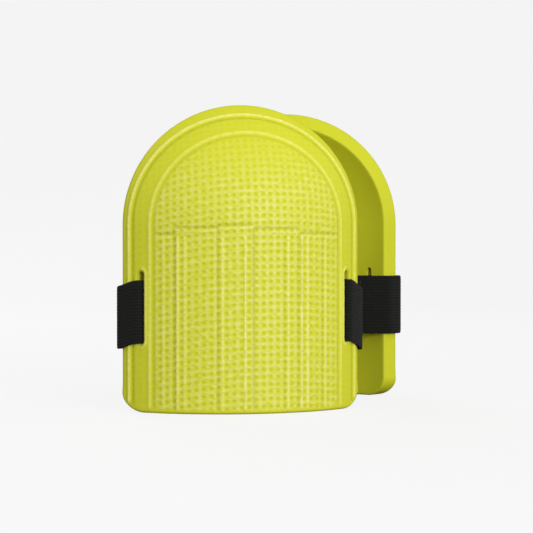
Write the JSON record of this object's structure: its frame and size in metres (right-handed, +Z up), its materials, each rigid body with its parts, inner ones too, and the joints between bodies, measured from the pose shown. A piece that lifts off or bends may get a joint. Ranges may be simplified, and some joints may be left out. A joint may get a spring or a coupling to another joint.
{
  "type": "knee pads",
  "caption": "Pair of curved foam knee pads with domed tops, raised outline beads and pressed panels, each with an elastic strap through side slots and a hook-and-loop closure.",
  "frame": {"origin": "middle of the front pad's flat bottom edge, halfway through the foam", "axes": "+Z up, +X across the pad to the right seen from outside, +Y from the front pad's outside towards the knee and the rear pad"},
  "size_m": [0.208, 0.1641, 0.195],
  "materials": {
    "foam": "matte moulded EVA foam, fine grain",
    "webbing": "woven elastic webbing, ribbed lengthwise",
    "hook_tape": "hook side of hook-and-loop tape",
    "loop_tape": "loop side of hook-and-loop tape",
    "thread": "polyester sewing thread"
  },
  "bodies": {
    "front_pad": {"front_foam_pad": "foam"},
    "front_strap": {"front_strap_band": "webbing", "front_loop_tape": "loop_tape", "front_end_stitches": "thread", "front_loop_stitches": "thread"},
    "front_tail": {"front_strap_tail": "webbing", "front_hook_tape": "hook_tape", "front_hook_stitches": "thread", "front_hem_stitches": "thread"},
    "rear_pad": {"rear_foam_pad": "foam"},
    "rear_strap": {"rear_strap_band": "webbing", "rear_loop_tape": "loop_tape", "rear_end_stitches": "thread", "rear_loop_stitches": "thread"},
    "rear_tail": {"rear_strap_tail": "webbing", "rear_hook_tape": "hook_tape", "rear_hook_stitches": "thread", "rear_hem_stitches": "thread"}
  },
  "joints": [
    {"name": "rear_pad_slide", "type": "slide", "parent": "front_pad", "child": "rear_pad", "axis": [0, 1, 0], "range_m": [0, 0.15]},
    {"name": "front_strap_slide", "type": "slide", "parent": "front_pad", "child": "front_strap", "axis": [0, 0, 1], "range_m": [0, 0.005]},
    {"name": "front_tail_peel", "type": "hinge", "parent": "front_strap", "child": "front_tail", "pos_m": [-0.07185, 0.03939, 0.0635], "axis": [0, 0, 1], "range_deg": [0, 140]},
    {"name": "rear_strap_slide", "type": "slide", "parent": "rear_pad", "child": "rear_strap", "axis": [0, 0, 1], "range_m": [0, 0.005]},
    {"name": "rear_tail_peel", "type": "hinge", "parent": "rear_strap", "child": "rear_tail", "pos_m": [0.11722, 0.09694, 0.0635], "axis": [0, 0, 1], "range_deg": [0, 140]}
  ]
}
